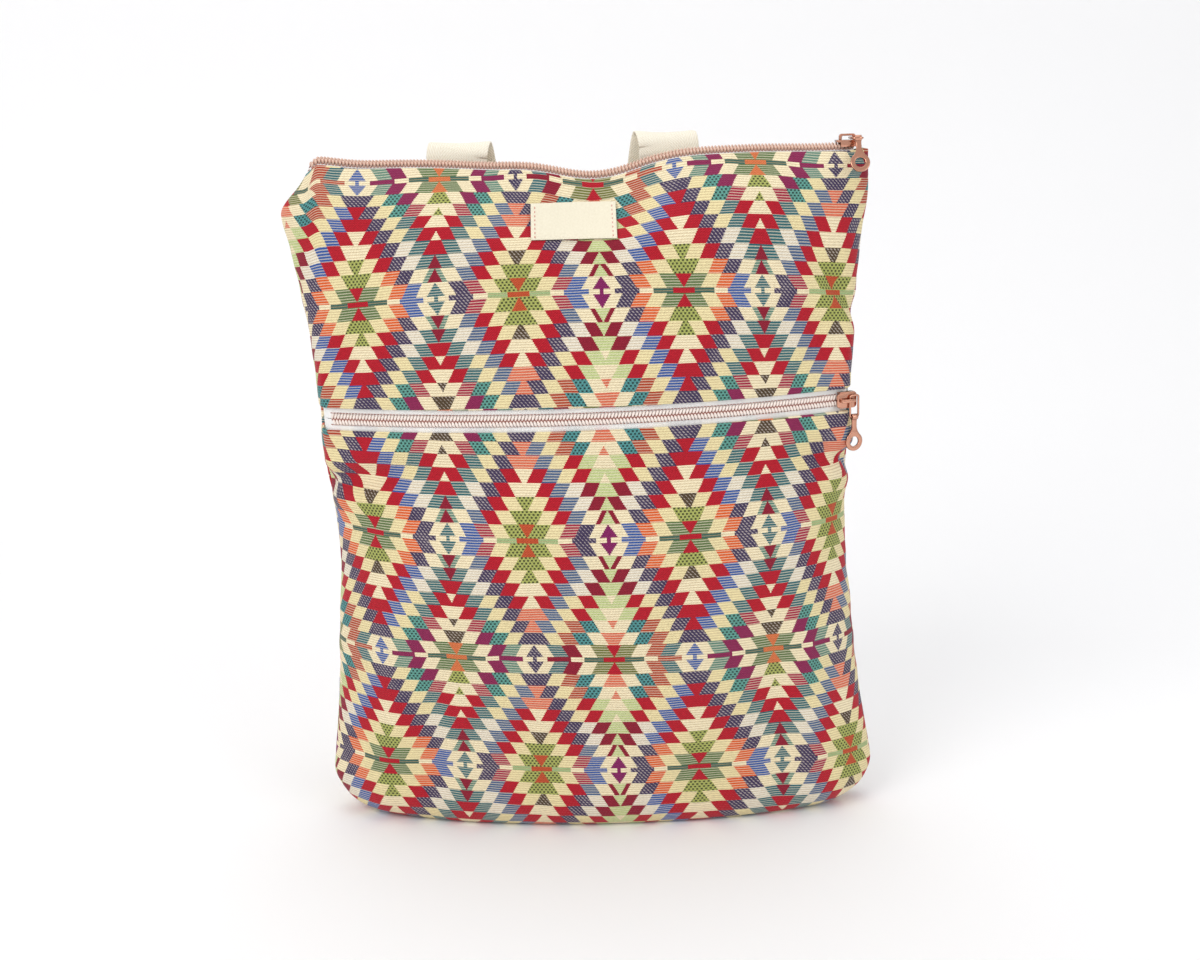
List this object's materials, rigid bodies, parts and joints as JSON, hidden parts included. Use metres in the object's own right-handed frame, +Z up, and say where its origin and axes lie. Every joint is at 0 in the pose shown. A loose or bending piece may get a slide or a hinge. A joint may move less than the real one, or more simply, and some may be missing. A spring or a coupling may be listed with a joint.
{
  "type": "zip-top fabric backpack",
  "caption": "Upright fabric backpack in woven diamond pattern, zip along the top edge, zipped front pocket, webbing shoulder straps folded over the back.",
  "frame": {"origin": "middle of the flat base, on the floor", "axes": "+Z up, the front with the pocket faces -Y, +X is the right as seen from the front"},
  "size_m": [0.3461, 0.1466, 0.4045],
  "materials": {
    "tapestry": "heavy woven cotton tapestry in many colours, matt",
    "lining": "plain cotton lining, matt",
    "zip_tape": "white woven zip tape",
    "zip_coil": "metallised rose gold coil",
    "rose_metal": "polished rose gold plated zinc",
    "webbing": "natural cotton webbing with a twill face",
    "label_cotton": "bare cream cotton label, sewn at both ends"
  },
  "bodies": {
    "bag": {"front_upper_panel": "tapestry", "front_lower_panel": "tapestry", "back_panel": "tapestry", "pocket_divider": "lining", "pocket_tape_upper": "zip_tape", "pocket_tape_lower": "zip_tape", "top_tape_front": "zip_tape", "top_tape_back": "zip_tape", "top_chain": "zip_coil", "pocket_chain": "zip_coil", "label": "label_cotton", "left_shoulder_strap": "webbing", "right_shoulder_strap": "webbing"},
    "top_slider_body": {"top_slider": "rose_metal"},
    "top_link_body": {"top_pull_link": "rose_metal"},
    "top_tab_body": {"top_pull_tab": "rose_metal"},
    "pocket_slider_body": {"pocket_slider": "rose_metal"},
    "pocket_link_body": {"pocket_pull_link": "rose_metal"},
    "pocket_tab_body": {"pocket_pull_tab": "rose_metal"}
  },
  "joints": [
    {"name": "top_zip_slide", "type": "slide", "parent": "bag", "child": "top_slider_body", "axis": [-0.9996, 0, -0.0279], "range_m": [0, 0.28]},
    {"name": "top_link_swing", "type": "hinge", "parent": "top_slider_body", "child": "top_link_body", "pos_m": [0.13941, 0, 0.4018], "axis": [-0.0279, 0, 0.9996], "range_deg": [-25, 25]},
    {"name": "top_tab_lift", "type": "hinge", "parent": "top_link_body", "child": "top_tab_body", "pos_m": [0.13951, -0.0099, 0.4018], "axis": [-0.9996, 0, -0.0279], "range_deg": [0, 145]},
    {"name": "pocket_zip_travel", "type": "hinge", "parent": "bag", "child": "pocket_slider_body", "pos_m": [-0.01188, 0.3471, 0.25167], "axis": [0.0279, 0, -0.9996], "range_deg": [0, 40.5]},
    {"name": "pocket_link_swing", "type": "hinge", "parent": "pocket_slider_body", "child": "pocket_link_body", "pos_m": [0.14031, -0.02287, 0.25592], "axis": [0.3712, -0.9285, 0.0104], "range_deg": [-50, 50]},
    {"name": "pocket_tab_lift", "type": "hinge", "parent": "pocket_link_body", "child": "pocket_tab_body", "pos_m": [0.14068, -0.02283, 0.24603], "axis": [-0.9282, -0.3713, -0.0259], "range_deg": [0, 140]}
  ]
}
